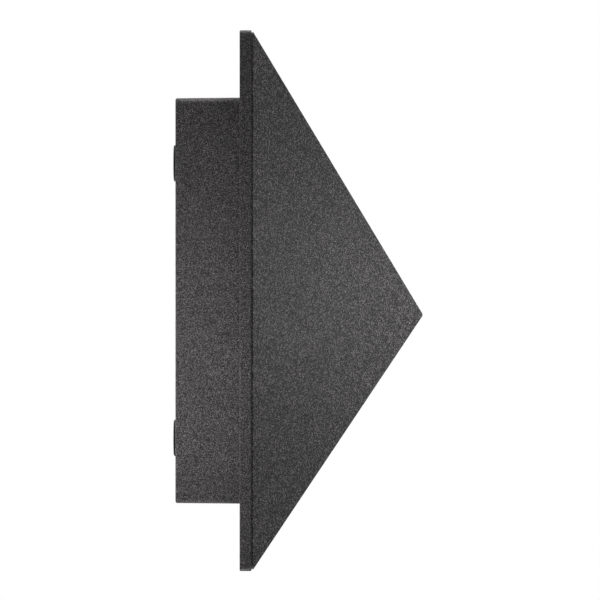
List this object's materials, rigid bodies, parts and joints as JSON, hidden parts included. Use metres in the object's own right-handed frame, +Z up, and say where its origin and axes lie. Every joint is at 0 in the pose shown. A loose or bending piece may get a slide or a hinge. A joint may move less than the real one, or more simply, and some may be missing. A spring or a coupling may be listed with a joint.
{
  "type": "wall light",
  "caption": "Square outdoor wall light with a pyramid front on a shallow wall box, whose head pulls off for wiring and throws its light back onto the wall.",
  "frame": {"origin": "on the wall, in the middle of the four wall bushes", "axes": "+X out of the wall through the front, +Z up, +Y to the right as seen from the front"},
  "size_m": [0.1201, 0.25, 0.25],
  "materials": {
    "textured_coat": "matte",
    "black_rubber": "satin",
    "silicone_seal": "matte",
    "opal_acrylic": "satin",
    "aluminium_sheet": "satin",
    "white_board": "satin",
    "led_phosphor": "satin",
    "driver_plastic": "matte",
    "terminal_plastic": "satin",
    "terminal_brass": "satin",
    "zinc_steel": "satin",
    "stainless_steel": "satin",
    "black_steel": "satin",
    "tinned_copper": "satin",
    "brown_wire": "satin",
    "blue_wire": "satin",
    "earth_wire": "satin",
    "red_wire": "satin",
    "black_wire": "satin",
    "white_wire": "satin"
  },
  "bodies": {
    "base": {"back_box": "textured_coat", "wall_bush_upper_left": "black_rubber", "wall_bush_upper_right": "black_rubber", "wall_bush_lower_left": "black_rubber", "wall_bush_lower_right": "black_rubber", "cable_grommet": "black_rubber", "upper_set_screw": "black_steel", "lower_set_screw": "black_steel"},
    "head": {"rim_frame": "textured_coat", "front_cover": "textured_coat", "box_gasket": "silicone_seal", "cover_gasket": "silicone_seal", "diffuser_right": "opal_acrylic", "diffuser_top": "opal_acrylic", "diffuser_left": "opal_acrylic", "diffuser_bottom": "opal_acrylic", "mounting_plate": "aluminium_sheet", "led_board_right": "white_board", "led_board_top": "white_board", "led_board_left": "white_board", "led_board_bottom": "white_board", "led_chips_right": "led_phosphor", "led_chips_top": "led_phosphor", "led_chips_left": "led_phosphor", "led_chips_bottom": "led_phosphor", "driver_base": "driver_plastic", "driver_cover": "driver_plastic", "terminal_block": "terminal_plastic", "terminal_clamps": "terminal_brass", "plate_screws": "zinc_steel", "board_screws": "zinc_steel", "driver_screws": "zinc_steel", "terminal_screws": "zinc_steel", "terminal_fixing_screws": "zinc_steel", "earth_screw": "zinc_steel", "cover_screws": "stainless_steel", "earth_lug": "tinned_copper", "lead_live": "brown_wire", "lead_neutral": "blue_wire", "lead_earth": "earth_wire", "lead_led_plus": "red_wire", "lead_led_minus": "black_wire", "board_links": "white_wire"}
  },
  "joints": [
    {"name": "head_slide", "type": "slide", "parent": "base", "child": "head", "axis": [1, 0, 0], "range_m": [0, 0.08]}
  ]
}
